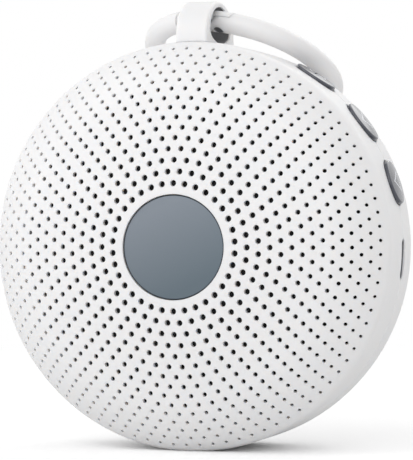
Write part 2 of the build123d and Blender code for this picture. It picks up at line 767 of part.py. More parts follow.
def hinge_room(radius, side):
    """The space that one half of the hinge takes out of the other piece."""
    start = hinge.offset(hinge_lap - side * hinge_lap_gap / 2)
    return extrude(start * Circle(radius + part_gap), amount=side * wide)


snap = at_ring(snap_angle)
snap_reach = snap_tongue_length / 2
snap_tongue = extrude(
    snap * Pos(snap_reach - 0.5, 0) * Rectangle(snap_tongue_length + 1, snap_tongue_width),
    amount=snap_tongue_thickness / 2,
    both=True,
)
snap_slot = extrude(
    snap * Pos(snap_reach, ring_wire_radius) * Rectangle(
        snap_tongue_length + 3 * part_gap, snap_tongue_width + 2 * (ring_wire_radius + part_gap)),
    amount=snap_tongue_thickness / 2 + part_gap,
    both=True,
)
snap_gap = extrude(snap * Rectangle(snap_gap_width, wide), amount=wide, both=True)
hinge_hole = across_wire(hinge, hinge_pin_radius, wide)
free_hole = across_wire(hinge, hinge_pin_radius + 0.05, wide)

anchor_room = ring_sector(snap_angle, hinge_angle) - hinge_room(hinge_heel_radius, -1)
anchor_room = anchor_room + hinge_half(hinge_tongue_radius, 1) - snap_gap - snap_slot - hinge_hole
anchor = whole_ring & anchor_room
pieces["ring_anchor"] = solid_of(anchor)
gate_room = ring_sector(hinge_angle, snap_angle + 360) - hinge_room(hinge_tongue_radius, 1)
gate_room = gate_room + hinge_half(hinge_heel_radius, -1) - snap_gap - free_hole
gate = (whole_ring & gate_room) + snap_tongue
pieces["ring_gate"] = solid_of(gate)
pin_length = 2 * sqrt(ring_wire_radius**2 - hinge_pin_radius**2)
pieces["ring_hinge_pin"] = across_wire(hinge, hinge_pin_radius, pin_length)

os.makedirs("parts", exist_ok=True)
for node, shape in pieces.items():
    export_step(shape, "parts/" + node + ".step", write_pcurves=(node != "front_shell"))
print(len(pieces), "pieces")
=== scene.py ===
# %% [markdown]
# # A palm-size sound machine
# This lesson dresses the finished CAD model of a small white noise sound machine: a white
# disc that stands on its rim, with a perforated dome in front, three buttons and a charging
# slot on the right of the rim, and a carrying ring in a lug on top. The CAD model is the
# frame. It is never moved or reshaped, so everything below only adds finishes to it, or
# lets a lighter mesh of the same size stand for one of its nodes.

# %% Load the frame
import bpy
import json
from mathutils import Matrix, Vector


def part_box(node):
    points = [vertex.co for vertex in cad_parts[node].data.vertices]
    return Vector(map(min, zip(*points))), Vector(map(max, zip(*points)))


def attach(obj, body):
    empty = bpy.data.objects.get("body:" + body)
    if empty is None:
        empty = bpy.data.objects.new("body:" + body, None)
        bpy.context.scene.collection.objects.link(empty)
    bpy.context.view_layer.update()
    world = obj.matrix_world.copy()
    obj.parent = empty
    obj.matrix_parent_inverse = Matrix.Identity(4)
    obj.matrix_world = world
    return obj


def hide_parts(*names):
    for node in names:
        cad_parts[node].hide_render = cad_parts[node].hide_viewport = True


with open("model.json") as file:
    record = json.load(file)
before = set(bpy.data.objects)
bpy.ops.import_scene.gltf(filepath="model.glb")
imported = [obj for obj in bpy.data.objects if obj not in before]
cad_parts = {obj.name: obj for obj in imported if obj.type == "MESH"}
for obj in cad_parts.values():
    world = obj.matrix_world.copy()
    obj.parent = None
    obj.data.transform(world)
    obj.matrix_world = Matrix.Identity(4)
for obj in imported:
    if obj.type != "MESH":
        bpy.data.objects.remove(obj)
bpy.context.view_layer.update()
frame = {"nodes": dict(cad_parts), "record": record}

import json
from math import asin, cos, pi, radians, sin

import bmesh
import bpy
from mathutils import Vector

nodes = frame["nodes"]
scene = bpy.context.scene
scene.view_settings.view_transform = "Standard"

# %% [markdown]
# ## Sizes
# Sizes on such an object are easiest to read in millimetres, while Blender works in metres,
# so each length below is multiplied by MM. They are the sizes of the CAD model: the two
# must agree, or a new mesh would not meet the solids around it. The disc rests on a shallow
# flat at the bottom of its rim, so its axis is that much lower than its radius.

# %% Sizes of the body
MM = 0.001
BODY_RADIUS = 45.0 * MM
REST_FLAT_DEPTH = 0.2 * MM
AXIS_HEIGHT = BODY_RADIUS - REST_FLAT_DEPTH
print("body", 2 * BODY_RADIUS / MM, "mm across, axis", round(AXIS_HEIGHT / MM, 2), "mm up")

# %% [markdown]
# ## Camera
# The view is almost level and turned a little to the right, so the rim shows on that side.
# A long lens from about half a metre keeps the disc close to a true circle, as a studio view
# of a product wants it. The camera could be tilted to bring the disc into the frame, but
# then its upright lines would lean, so a small shift does it instead.

# %% Camera
AZIMUTH = radians(17.69)
ELEVATION = radians(0.68)
DISTANCE = 515.4 * MM
AIM = Vector((0, -22.61 * MM, AXIS_HEIGHT))
SENSOR_HEIGHT = 36     # in millimetres, as Blender takes it
FOCAL_LENGTH = 188.2   # in millimetres too

toward = Vector((sin(AZIMUTH) * cos(ELEVATION), -cos(AZIMUTH) * cos(ELEVATION), sin(ELEVATION)))
camera = bpy.data.objects.new("camera", bpy.data.cameras.new("camera"))
scene.collection.objects.link(camera)
scene.camera = camera
camera.location = AIM + toward * DISTANCE
camera.rotation_euler = (-toward).to_track_quat("-Z", "Y").to_euler()
camera.data.sensor_fit = "VERTICAL"
camera.data.sensor_height = SENSOR_HEIGHT
camera.data.lens = FOCAL_LENGTH
camera.data.shift_x, camera.data.shift_y = 0.0739, 0.0376
camera.data.clip_start, camera.data.clip_end = 10 * MM, 20000 * MM
print("camera at", [round(v, 3) for v in camera.location])

# %% [markdown]
# ## Helpers for materials
# Colours are written as sRGB hex, the way a paint program shows them, but a shader needs
# them linear, so one function turns them. Every material here is a short chain of nodes. A
# second function fills a node's sockets, by a value or by a link from another node, and a
# third adds a node and fills it at once.

# %% Colour and node helpers
def linear(hex_colour):
    """An sRGB hex colour as the linear RGBA that shaders use."""
    values = [int(hex_colour[i:i + 2], 16) / 255 for i in (1, 3, 5)]
    return [v / 12.92 if v <= 0.04045 else ((v + 0.055) / 1.055) ** 2.4 for v in values] + [1]


def fill(node, **sockets):
    """Fills a node's inputs. A socket is named, spaces as underscores, or numbered as i0, i1
    and so on. It takes a plain value, another node's output, or a node for its first output."""
    for key, value in sockets.items():
        number = key[1:]
        socket = node.inputs[int(number) if number.isdigit() else key.replace("_", " ")]
        if isinstance(value, bpy.types.Node):
            value = next(output for output in value.outputs if output.enabled)
        if isinstance(value, bpy.types.NodeSocket):
            node.id_data.links.new(value, socket)
        else:
            socket.default_value = value


def add(tree, kind, settings=(), **sockets):
    """Adds a node to a tree, sets its properties and fills its inputs."""
    node = tree.nodes.new(kind)
    for key, value in dict(settings).items():
        setattr(node, key, value)
    fill(node, **sockets)
    return node


def new_material(name):
    """A material with only its output and its Principled shader, its tree, and that shader."""
    material = bpy.data.materials.new(name)
    material.use_nodes = True
    tree = material.node_tree
    tree.nodes.clear()
    shader = add(tree, "ShaderNodeBsdfPrincipled")
    add(tree, "ShaderNodeOutputMaterial", Surface=shader)
    return material, tree, shader


print("white is", [round(v, 3) for v in linear("#FFFFFF")])

# %% [markdown]
# ## Moulded ABS
# The shells, the lug and the ring are injection moulded ABS. Their steel moulds are lightly
# spark eroded, which leaves a satin grain of a few hundredths of a millimetre. That is too
# fine to show, so it is drawn half a millimetre wide, and so shallow that it only softens
# the highlights. A single noise would look like sand, so there are two: the fine grain goes
# into the bump, and a slow one, as wide as a fingertip, varies the roughness and the colour
# by very little, as handling and uneven cooling do. White ABS also lets some light in, which
# comes out again a little further on, so subsurface scattering over less than a millimetre
# takes the hardness off the rims of the holes.

# %% Moulded plastic
PATCH_WIDTH = 18 * MM
ABS_IOR = 1.54
NOISE_LOW, NOISE_HIGH = 0.3, 0.7   # most of a noise texture's values lie between these


def moulded_plastic(name, colour, drift, roughness, grain, depth, scatter=0.0):
    """Satin moulded plastic whose colour drifts to another. grain and depth are the size and
    height of its texture, and scatter is how far light spreads under its surface."""
    material, tree, shader = new_material(name)
    place = add(tree, "ShaderNodeTexCoord").outputs["Object"]
    fine = add(tree, "ShaderNodeTexNoise", Vector=place, Scale=1 / grain, Detail=2.0, Roughness=0.6)
    slow = add(tree, "ShaderNodeTexNoise", Vector=place, Scale=1 / PATCH_WIDTH, Detail=3.0)
    tint = add(tree, "ShaderNodeMix", {"data_type": "RGBA"}, Factor=slow, A=linear(colour),
               B=linear(drift))
    rough = add(tree, "ShaderNodeMapRange", Value=slow, From_Min=NOISE_LOW, From_Max=NOISE_HIGH,
                To_Min=roughness - 0.04, To_Max=roughness + 0.05)
    bump = add(tree, "ShaderNodeBump", Height=fine, Distance=depth, Strength=0.6)
    fill(shader, Base_Color=tint, Roughness=rough, Normal=bump, IOR=ABS_IOR)
    if scatter:
        fill(shader, Subsurface_Weight=1.0, Subsurface_Radius=(1.0, 0.95, 0.9),
             Subsurface_Scale=scatter)
    return material


white_abs = moulded_plastic("White ABS, satin moulded", "#F0EFEF", "#ECECED", roughness=0.42,
                            grain=0.5 * MM, depth=0.014 * MM, scatter=0.8 * MM)
black_abs = moulded_plastic("Black ABS, moulded", "#1B1B1D", "#222225", roughness=0.5,
                            grain=0.3 * MM, depth=0.01 * MM)
print("moulded:", white_abs.name, "and", black_abs.name)

# %% [markdown]
# ## Metals
# Bare metal shows at the screws in the back and the pin of the ring's hinge, which are zinc
# plated, and in the charging slot, whose socket is drawn from sheet steel. A metal's colour
# is its reflection, so the base colour stays bright and the roughness does the work. All
# the finishes come from one noise: left round it is plating, and squeezed along an axis it
# is the fine lines that drawing, winding or brushing leaves across that axis.

# %% Metal finishes
def metal(name, colour, roughness, squeeze=(1, 1, 1), grain=0.4 * MM, depth=0.003 * MM):
    """A metal with a faint grain, made finer along an axis by squeeze."""
    material, tree, shader = new_material(name)
    place = add(tree, "ShaderNodeTexCoord").outputs["Object"]
    squeezed = add(tree, "ShaderNodeMapping", Vector=place, Scale=squeeze)
    fine = add(tree, "ShaderNodeTexNoise", Vector=squeezed, Scale=1 / grain, Detail=3.0)
    rough = add(tree, "ShaderNodeMapRange", Value=fine, From_Min=NOISE_LOW, From_Max=NOISE_HIGH,
                To_Min=roughness - 0.06, To_Max=roughness + 0.06)
    bump = add(tree, "ShaderNodeBump", Height=fine, Distance=depth, Strength=0.5)
    fill(shader, Base_Color=linear(colour), Metallic=1.0, Roughness=rough, Normal=bump)
    return material


zinc_steel = metal("Zinc plated steel", "#A6A8AC", 0.34)
socket_steel = metal("Drawn steel, nickel plated", "#B4B6BA", 0.4, squeeze=(1, 6, 1))
coated_steel = metal("Pressed steel, black coated", "#2A2A2C", 0.45)
copper_wire = metal("Enamelled copper wire", "#B9703F", 0.3, squeeze=(1, 30, 1))
battery_foil = metal("Laminated aluminium foil", "#C3C5CA", 0.28, grain=1.5 * MM, depth=0.02 * MM)
print("metals:", zinc_steel.name, "and four more")

# %% [markdown]
# The plate in the middle of the dome is a special case. Anodising grows an oxide film that takes up
# a dye, here a slate grey. On top of that, the colour carries painted shade. It goes slowly from a
# paler grey at the upper left to a darker one at the lower right, and the plate's edge, where it
# falls away from the light, is painted as a thin dark line of shade. Both are worked out from the
# place of a point on the disc, in real millimetres.

# %% Anodised plate
# Painted shade: a paler grey at the upper left, a darker grey towards the lower right, and a dark
# line of shade at the edge.
SLATE_LIT, SLATE_SHADED, EDGE_SHADE = "#80878F", "#646F77", "#3C4147"
SHADED_WAY = (0.45, 0, -0.89)
SHADE_REACH = 9 * MM
EDGE_START, EDGE_END = 11.0 * MM, 11.12 * MM

plate_aluminium = metal("Anodised aluminium, satin", SLATE_LIT, 0.4, squeeze=(1, 1, 6))
tree = plate_aluminium.node_tree
place = add(tree, "ShaderNodeTexCoord").outputs["Object"]
from_axis = add(tree, "ShaderNodeVectorMath", {"operation": "MULTIPLY_ADD"}, i0=place,
                i1=(1, 0, 1), i2=(0, 0, -AXIS_HEIGHT))
along = add(tree, "ShaderNodeVectorMath", {"operation": "DOT_PRODUCT"}, i0=from_axis,
            i1=SHADED_WAY)
# painted shade, darker towards the lower right
painted_shade = add(tree, "ShaderNodeMapRange", Value=along, From_Min=-SHADE_REACH,
             From_Max=SHADE_REACH)
slate = add(tree, "ShaderNodeMix", {"data_type": "RGBA"}, Factor=painted_shade, A=linear(SLATE_LIT),
            B=linear(SLATE_SHADED))
off_axis = add(tree, "ShaderNodeVectorMath", {"operation": "LENGTH"}, i0=from_axis)
# painted shade in a thin dark line along the edge
edge_shade_mask = add(tree, "ShaderNodeMapRange", Value=off_axis, From_Min=EDGE_START, From_Max=EDGE_END)
painted_slate = add(tree, "ShaderNodeMix", {"data_type": "RGBA"}, Factor=edge_shade_mask, A=slate,
            B=linear(EDGE_SHADE))
fill(tree.nodes["Principled BSDF"], Base_Color=painted_slate)
print("plate:", plate_aluminium.name, "in", len(tree.nodes), "nodes")

# %% [markdown]
# ## Polished plastic of the buttons
# The buttons are polycarbonate from a polished mould, tinted blue-grey. A clear coat gives
# the sharp highlight of the polished skin over the softer body colour. The symbols are
# moulded in a light plastic, flush with the cap.

# %% Buttons and marks
POLYCARBONATE_IOR = 1.58
FLOW_WIDTH = 4 * MM   # width of the faint waves that the flowing plastic leaves


def polished_plastic(name, colour, drift, roughness, coat):
    """Glossy plastic whose colour drifts a little, under a clear polished skin."""
    material, tree, shader = new_material(name)
    place = add(tree, "ShaderNodeTexCoord").outputs["Object"]
    slow = add(tree, "ShaderNodeTexNoise", Vector=place, Scale=1 / FLOW_WIDTH, Detail=2.0)
    tint = add(tree, "ShaderNodeMix", {"data_type": "RGBA"}, Factor=slow, A=linear(colour),
               B=linear(drift))
    bump = add(tree, "ShaderNodeBump", Height=slow, Distance=0.004 * MM, Strength=0.4)
    fill(shader, Base_Color=tint, Roughness=roughness, Normal=bump, IOR=POLYCARBONATE_IOR,
         Coat_Weight=coat, Coat_Roughness=0.08)
    return material


button_plastic = polished_plastic("Polycarbonate, polished", "#434650", "#3C3F49", 0.22, coat=0.3)
mark_plastic = polished_plastic("Light ABS inlay", "#E2E4EA", "#DADDE4", 0.3, coat=0.2)
print("buttons:", button_plastic.name, "with", mark_plastic.name)

# %% [markdown]
# ## Cloth
# Black cloth lies behind the holes, and only tiny discs of it show. It could be one dark
# colour, but a close look should find its threads. Its weave is two wave patterns at right
# angles, one for each set of threads, with the pitch of a real speaker cloth.

# %% Woven cloth
WAVE_REPEAT = 0.314   # a wave texture of scale 1 repeats after this length


def woven_cloth(name, colour, light, pitch):
    """Plain weave: threads of one pitch across and up, drawn by two waves."""
    material, tree, shader = new_material(name)
    place = add(tree, "ShaderNodeTexCoord").outputs["Object"]
    across, up = [
        add(tree, "ShaderNodeTexWave", {"bands_direction": way, "wave_profile": "SIN"},
            Vector=place, Scale=WAVE_REPEAT / pitch, Distortion=0.4, Detail=1.0).outputs["Fac"]
        for way in ("X", "Z")
    ]
    weave = add(tree, "ShaderNodeMath", {"operation": "MULTIPLY"}, i0=across, i1=up)
    tint = add(tree, "ShaderNodeMix", {"data_type": "RGBA"}, Factor=weave, A=linear(colour),
               B=linear(light))
    bump = add(tree, "ShaderNodeBump", Height=weave, Distance=pitch / 3, Strength=0.8)
    fill(shader, Base_Color=tint, Roughness=0.9, Normal=bump, Sheen_Weight=0.1)
    return material


speaker_cloth = woven_cloth("Speaker cloth, plain weave", "#070708", "#121214", pitch=0.4 * MM)
spider_cloth = woven_cloth("Resin dipped cotton", "#B0864A", "#C79C5C", pitch=0.3 * MM)
print("cloth:", speaker_cloth.name, "and", spider_cloth.name)

# %% [markdown]
# ## Rubber, paper, foam and boards
# The grey rubber lines the eye of the lug, and its grey is painted shade that stands for the shade
# inside the eye. The rest is inside and hardly shows, yet each piece gets the finish of its real
# material, so that the model stays right when the shells are taken off. What these materials share
# is a dull surface of small grains, each a little lighter or darker than the next, and cells of
# random shape give just that.

# %% Dull finishes
def dull(name, colour, light, grain, depth, roughness):
    """Foam, rubber, paper or board: a rough surface of small light and dark grains."""
    material, tree, shader = new_material(name)
    place = add(tree, "ShaderNodeTexCoord").outputs["Object"]
    cells = add(tree, "ShaderNodeTexVoronoi", Vector=place, Scale=1 / grain)
    tint = add(tree, "ShaderNodeMix", {"data_type": "RGBA"}, Factor=cells, A=linear(colour),
               B=linear(light))
    bump = add(tree, "ShaderNodeBump", Height=cells, Distance=depth, Strength=0.7)
    fill(shader, Base_Color=tint, Roughness=roughness, Normal=bump)
    return material


# Painted shade: the grey of this liner stands for the shade inside the lug's eye.
liner_rubber = dull("Grey liner rubber, painted eye shade", "#6C6C6E", "#747476", 0.3 * MM, 0.01 * MM, 0.6)
soft_rubber = dull("Nitrile rubber, moulded", "#0B0B0C", "#121213", 0.3 * MM, 0.01 * MM, 0.7)
cell_foam = dull("Closed cell foam", "#151515", "#242424", 0.5 * MM, 0.08 * MM, 0.9)
cone_paper = dull("Pressed paper pulp", "#1D1D1E", "#2A2A2B", 0.8 * MM, 0.04 * MM, 0.85)
ferrite = dull("Sintered ferrite", "#232325", "#303033", 0.2 * MM, 0.01 * MM, 0.6)
phenolic = dull("Phenolic paper sheet", "#7A4E24", "#8C5C2C", 0.6 * MM, 0.01 * MM, 0.5)
solder_mask = dull("Glass epoxy board, green mask", "#0E4A2A", "#125632", 0.7 * MM, 0.01 * MM, 0.35)
epoxy_black = dull("Moulded epoxy", "#161617", "#1E1E20", 0.15 * MM, 0.006 * MM, 0.6)
cream_nylon = dull("Nylon, moulded", "#E0D8C2", "#D8CFB6", 0.4 * MM, 0.01 * MM, 0.5)
red_pvc = dull("PVC sleeve, red", "#A8161A", "#B22024", 0.5 * MM, 0.01 * MM, 0.4)
black_pvc = dull("PVC sleeve, black", "#141415", "#1C1C1E", 0.5 * MM, 0.01 * MM, 0.4)
clear_film = dull("Transfer adhesive", "#C8C4B8", "#D2CEC4", 0.6 * MM, 0.01 * MM, 0.3)
print("dull:", liner_rubber.name, "and eleven more")

# %% [markdown]
# ## Dressing the CAD nodes
# The CAD shapes of the small parts are right as they are. Each gets its finish by its
# material slot in the record, so a slot's name says what every node of it is made of.

# %% Assign finishes by slot
slot_finish = {
    "white_plastic": white_abs,
    "black_plastic": black_abs,
    "plate_metal": plate_aluminium,
    "adhesive": clear_film,
    "lining_cloth": speaker_cloth,
    "screw_steel": zinc_steel,
    "basket_steel": coated_steel,
    "foam": cell_foam,
    "surround_rubber": soft_rubber,
    "cone_paper": cone_paper,
    "coil_copper": copper_wire,
    "spider_cloth": spider_cloth,
    "plated_steel": zinc_steel,
    "ferrite": ferrite,
    "terminal_board": phenolic,
    "circuit_board": solder_mask,
    "chip_plastic": epoxy_black,
    "capacitor_can": battery_foil,
    "connector_plastic": cream_nylon,
    "socket_steel": socket_steel,
    "button_plastic": button_plastic,
    "mark_ink": mark_plastic,
    "battery_foil": battery_foil,
    "red_sleeve": red_pvc,
    "black_sleeve": black_pvc,
    "liner_rubber": liner_rubber,
    "pin_steel": zinc_steel,
}
for part in frame["record"]["subparts"]:
    mesh = nodes[part["node"]].data
    mesh.materials.clear()
    mesh.materials.append(slot_finish[part["material_slot"]])

# %% [markdown]
# ## The front shell
# The dome, its shoulder and the front half of the rim are one moulding with more than nine
# hundred holes. The CAD node's mesh spends a quarter of a million triangles on them, which
# is heavy for one piece, so this piece is made again here with fewer. Its wall is a curve
# of three arcs that meet without a corner: the flat cap of the dome, the shoulder and the
# edge. Where one arc ends, the next has the same slope, and that fixes where its centre is.

# %% Sizes of the front shell
BODY_DEPTH = 44.0 * MM
FRONT_OF_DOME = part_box("rear_shell")[1].y - BODY_DEPTH
CAP_RADIUS = 136.0 * MM
CAP_SLOPE = radians(14.2)
SHOULDER_RADIUS = 19.0 * MM
EDGE_RADIUS = 4.0 * MM
SEAM_DEPTH = 25.5 * MM
SEAM_GROOVE = 0.2 * MM
FRONT_WALL = 1.3 * MM
PLATE_HOLE_RADIUS = 11.4 * MM
PLATE_FLOOR_DEPTH = 1.6 * MM
BOSS_RADIUS = 12.6 * MM
LEDGE_DEPTH = 15.2 * MM
LEDGE_THICKNESS = 0.8 * MM
LEDGE_HEIGHT = 0.9 * MM

shoulder_centre = (CAP_RADIUS - SHOULDER_RADIUS) * sin(CAP_SLOPE)
shoulder_depth = CAP_RADIUS - (CAP_RADIUS - SHOULDER_RADIUS) * cos(CAP_SLOPE)
edge_centre = BODY_RADIUS - EDGE_RADIUS
shoulder_slope = asin((edge_centre - shoulder_centre) / (SHOULDER_RADIUS - EDGE_RADIUS))
edge_depth = shoulder_depth - (SHOULDER_RADIUS - EDGE_RADIUS) * cos(shoulder_slope)
print("the rim starts", round(edge_depth / MM, 2), "mm behind the front of the dome")

# %% [markdown]
# The inside of the wall is the same three arcs, set in by the thickness. Round the outline
# of the wall, from the axis and back to it, come the recess for the plate, the outside of
# the dome, a small groove at the seam, the inside of the rim with the ledge that the inner
# frame rests on, the inside of the dome, and the back of the recess. The CAD node also has
# six small hooks behind that frame. They never show, so the mesh goes without them.

# %% Profile of the wall
CAP_STEPS, SHOULDER_STEPS, EDGE_STEPS = 20, 16, 7


def arc(centre_depth, centre, radius, start, end, steps):
    """Points of an arc, each a depth and a distance from the axis, by the slope there."""
    slopes = [start + (end - start) * i / steps for i in range(steps + 1)]
    return [(centre_depth - radius * cos(s), centre + radius * sin(s)) for s in slopes]


def dome(inset, start_radius):
    """The dome's outline from this distance off the axis to where the rim starts."""
    start = asin(start_radius / (CAP_RADIUS - inset))
    cap = arc(CAP_RADIUS, 0, CAP_RADIUS - inset, start, CAP_SLOPE, CAP_STEPS)
    shoulder = arc(shoulder_depth, shoulder_centre, SHOULDER_RADIUS - inset, CAP_SLOPE,
                   shoulder_slope, SHOULDER_STEPS)
    edge = arc(edge_depth, edge_centre, EDGE_RADIUS - inset, shoulder_slope, radians(90),
               EDGE_STEPS)
    return cap + shoulder[1:] + edge[1:]


rim_inside = BODY_RADIUS - FRONT_WALL
shell_profile = [
    (PLATE_FLOOR_DEPTH, 0),
    (PLATE_FLOOR_DEPTH, PLATE_HOLE_RADIUS),
    *dome(0, PLATE_HOLE_RADIUS),
    (SEAM_DEPTH - SEAM_GROOVE, BODY_RADIUS),
    (SEAM_DEPTH, BODY_RADIUS - 2 * SEAM_GROOVE),
    (SEAM_DEPTH, rim_inside),
    (LEDGE_DEPTH + LEDGE_THICKNESS, rim_inside),
    (LEDGE_DEPTH + LEDGE_THICKNESS, rim_inside - LEDGE_HEIGHT),
    (LEDGE_DEPTH, rim_inside - LEDGE_HEIGHT),
    (LEDGE_DEPTH, rim_inside),
    *reversed(dome(FRONT_WALL, BOSS_RADIUS)),
    (PLATE_FLOOR_DEPTH + FRONT_WALL, BOSS_RADIUS),
    (PLATE_FLOOR_DEPTH + FRONT_WALL, 0),
]
print("profile of", len(shell_profile), "points")

# %% [markdown]
# The real blank comes out of a mould, but a round shape is quickest described as if it were
# turned on a lathe: the profile goes once round the axis. Blender's Screw or Spin would do
# it too. Here the rings of points are made one by one, because the two ends of the profile
# lie on the axis, where each ring shrinks to a single point and its faces are triangles.

# %% Turned blank
BLANK_STEPS = 240


def on_body(angle, radius, depth):
    """A point of the body by its angle round the rim, its distance from the axis and depth."""
    return Vector((radius * cos(angle), FRONT_OF_DOME + depth, AXIS_HEIGHT + radius * sin(angle)))


def as_object(name, shape):
    """Turns a finished bmesh into an object at the origin."""
    mesh = bpy.data.meshes.new(name)
    shape.to_mesh(mesh)
    shape.free()
    piece = bpy.data.objects.new(name, mesh)
    scene.collection.objects.link(piece)
    return piece


def turned(name, profile, steps):
    """A closed solid: a profile from axis to axis, turned once round the body's axis."""
    shape = bmesh.new()
    rings = []
    for depth, radius in profile:
        count = steps if radius else 1
        ring = [shape.verts.new(on_body(2 * pi * i / steps, radius, depth)) for i in range(count)]
        rings.append(ring * (steps // count))
    for near, far in zip(rings, rings[1:]):
        for i in range(steps):
            corners = [near[i - 1], near[i], far[i], far[i - 1]]
            shape.faces.new(dict.fromkeys(corners))
    bmesh.ops.recalc_face_normals(shape, faces=shape.faces)
    return as_object(name, shape)


front_blank = turned("front_shell_perforated", shell_profile, BLANK_STEPS)
print("blank of the front shell:", len(front_blank.data.polygons), "faces")

# %% [markdown]
# The blank still lacks its openings in the rim: half of each button hole, of the charging
# slot and of the hole for the lug's neck, and the flat that the disc rests on. The profile
# can't give them, because they don't go all the way round. A real mould has an insert for
# each. Here each is a prism that stands in the rim, drawn as an outline of a few points,
# and is taken out of the blank.

# %% Outline and prism
PRISM_REACH = 5 * MM   # how far a prism stands out of the rim, and into it


def rounded(length, width, corner, steps):
    """Outline of a rectangle with round corners. A large corner makes it a slot or circle."""
    outline = []
    for quarter, (x, y) in enumerate(((1, 1), (-1, 1), (-1, -1), (1, -1))):
        for i in range(steps + 1):
            a = radians(90) * (quarter + i / steps)
            outline.append((x * (length / 2 - corner) + corner * cos(a),
                            y * (width / 2 - corner) + corner * sin(a)))
    return outline


def rim_prism(shape, outline, angle, depth):
    """Adds a prism that stands through the rim. An outline's x runs back, its y round."""
    round_rim = Vector((-sin(angle), 0, cos(angle)))
    ends = []
    for radius in (BODY_RADIUS - PRISM_REACH, BODY_RADIUS + PRISM_REACH):
        foot = on_body(angle, radius, depth)
        ends.append([shape.verts.new(foot + Vector((0, x, 0)) + round_rim * y) for x, y in outline])
    for end in ends:
        shape.faces.new(end)
    for i in range(len(outline)):
        shape.faces.new((ends[0][i - 1], ends[0][i], ends[1][i], ends[1][i - 1]))


print("a circle of four quarters:", len(rounded(2, 2, 1, 12)), "points")

# %% [markdown]
# The prisms and a box below the floor are joined into one mesh, a single tool that the node
# tree subtracts. Where an outline's quarters meet, two points fall together, so doubles are
# merged before the normals are made to point outwards.

# %% Openings in the rim
BUTTON_ANGLES = [radians(a) for a in (56.0, 37.3, 18.2)]
BUTTON_HOLE_RADIUS = 5.25 * MM
SLOT_ANGLE = radians(-3.5)
SLOT_LENGTH = 9.14 * MM
SLOT_HEIGHT = 3.4 * MM
NECK_DEPTH = 24.55 * MM
NECK_LENGTH = 10.6 * MM
NECK_WIDTH = 4.6 * MM
NECK_CORNER = 4.4 / 3 * MM     # a third of the width of the neck that goes in
BOX_SIZE = (40 * MM, 60 * MM, 10 * MM)

tool = bmesh.new()
for angle in BUTTON_ANGLES:
    side = 2 * BUTTON_HOLE_RADIUS
    rim_prism(tool, rounded(side, side, BUTTON_HOLE_RADIUS, 12), angle, SEAM_DEPTH)
rim_prism(tool, rounded(SLOT_HEIGHT, SLOT_LENGTH, SLOT_HEIGHT / 2, 8), SLOT_ANGLE, SEAM_DEPTH)
rim_prism(tool, rounded(NECK_LENGTH, NECK_WIDTH, NECK_CORNER, 5), radians(90), NECK_DEPTH)
box_corners = bmesh.ops.create_cube(tool, size=1.0)["verts"]
bmesh.ops.scale(tool, verts=box_corners, vec=BOX_SIZE)
bmesh.ops.translate(tool, verts=box_corners, vec=(0, 0, -BOX_SIZE[2] / 2))
bmesh.ops.remove_doubles(tool, verts=tool.verts, dist=0.001 * MM)
bmesh.ops.recalc_face_normals(tool, faces=tool.faces)
rim_openings = as_object("rim_openings", tool)
print("openings:", len(rim_openings.data.polygons), "faces")

# %% [markdown]
# ## The holes
# The holes follow one rule, so Geometry Nodes make them: a change of one number then moves
# all of them. They lie in rings, each with four more holes than the one inside it. Outwards
# the rings draw closer and the holes shrink, and on the steep shoulder they are drilled at
# a slant. The tree's inputs are the numbers of that rule.

# %% Inputs of the node tree
perforate = bpy.data.node_groups.new("Perforated shell", "GeometryNodeTree")
perforate.interface.new_socket("Shell", in_out="OUTPUT", socket_type="NodeSocketGeometry")
hole_values = {
    "Blank": None,   # the mesh of the piece that the tree runs on
    "Openings": rim_openings,
    "Rings": 15,
    "First ring radius": 13.76 * MM,
    "Ring pitch": 2.55 * MM,
    "Pitch loss": 0.0675 * MM,
    "First ring holes": 34,
    "Holes added": 4,
    "First hole": 1.38 * MM,
    "Last hole": 0.70 * MM,
    "Straight rings": 10,
    "Slant": radians(14.0),
    "Drill length": 3 * FRONT_WALL,
    "Drill sides": 20,
    "Axis height": AXIS_HEIGHT,
    "Finish": white_abs,
}
kinds = {bpy.types.Object: "NodeSocketObject", bpy.types.Material: "NodeSocketMaterial",
         int: "NodeSocketInt", float: "NodeSocketFloat", type(None): "NodeSocketGeometry"}
hole_sockets = {
    label: perforate.interface.new_socket(label, in_out="INPUT", socket_type=kinds[type(value)])
    for label, value in hole_values.items()
}
given = add(perforate, "NodeGroupInput").outputs
print("tree inputs:", ", ".join(hole_sockets))

# %% [markdown]
# The holes are numbered from the inside out, and the first step is to find the ring of each.
# With a for the holes added and b for the holes of the first ring less half of a, the rings
# inside ring r hold a / 2 * r * r + b * r holes. Solved for r, hole i lies in ring
# (sqrt(b * b + 2 * a * i) - b) / a, rounded down. The first hole of a ring gives a whole
# number, which may come out a hair too low, so a little is added before the rounding.

# %% Ring of each hole
ROUNDING_GUARD = 0.0001

number = add(perforate, "GeometryNodeInputIndex")
half_added = add(perforate, "ShaderNodeMath", {"operation": "MULTIPLY"}, i0=given["Holes added"],
                 i1=0.5)
base = add(perforate, "ShaderNodeMath", {"operation": "SUBTRACT"}, i0=given["First ring holes"],
           i1=half_added)
twice_added = add(perforate, "ShaderNodeMath", {"operation": "MULTIPLY"},
                  i0=given["Holes added"], i1=2.0)
base_squared = add(perforate, "ShaderNodeMath", {"operation": "MULTIPLY"}, i0=base, i1=base)
under_root = add(perforate, "ShaderNodeMath", {"operation": "MULTIPLY_ADD"}, i0=number,
                 i1=twice_added, i2=base_squared)
root = add(perforate, "ShaderNodeMath", {"operation": "SQRT"}, i0=under_root)
above_base = add(perforate, "ShaderNodeMath", {"operation": "SUBTRACT"}, i0=root, i1=base)
ring_exact = add(perforate, "ShaderNodeMath", {"operation": "DIVIDE"}, i0=above_base,
                 i1=given["Holes added"])
ring_safe = add(perforate, "ShaderNodeMath", {"operation": "ADD"}, i0=ring_exact,
                i1=ROUNDING_GUARD)
ring = add(perforate, "ShaderNodeMath", {"operation": "FLOOR"}, i0=ring_safe)
